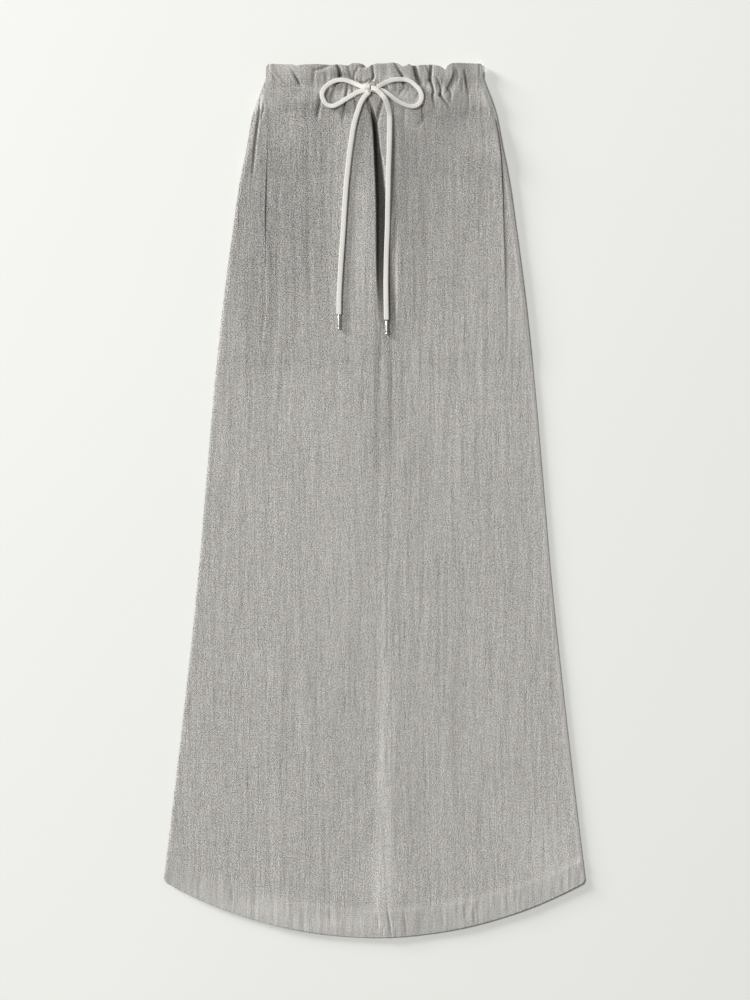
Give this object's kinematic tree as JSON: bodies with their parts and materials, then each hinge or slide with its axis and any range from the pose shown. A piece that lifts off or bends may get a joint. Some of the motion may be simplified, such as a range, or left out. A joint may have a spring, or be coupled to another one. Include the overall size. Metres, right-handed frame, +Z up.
{
  "type": "midi skirt",
  "caption": "Long skirt laid flat, front up: ruffled drawstring waist tied in a bow, side pocket slits, soft pleat below the bow, and a flared body with a curved turned hem.",
  "frame": {"origin": "on the surface the skirt lies on, under the middle of its width and length", "axes": "+Z up, out of the front; +Y from hem to waist; +X to the right as one looks down at the front"},
  "size_m": [0.4816, 1, 0.0317],
  "materials": {
    "cloth": "matt heathered grey weave with fine crinkles along the length",
    "inner_cloth": "matt grey weave of the pocket bags",
    "cord": "off-white round woven cord",
    "metal": "plain bright metal cord ends"
  },
  "bodies": {
    "root": {"front_panel": "cloth", "back_panel": "cloth", "front_casing": "cloth", "back_casing": "cloth", "front_hem": "cloth", "back_hem": "cloth", "pocket_left": "inner_cloth", "pocket_right": "inner_cloth", "drawstring_loop_left": "cord", "drawstring_loop_right": "cord", "drawstring_tail_left": "cord", "drawstring_tail_right": "cord", "drawstring_knot": "cord", "aglet_left": "metal", "aglet_right": "metal"}
  },
  "joints": []
}
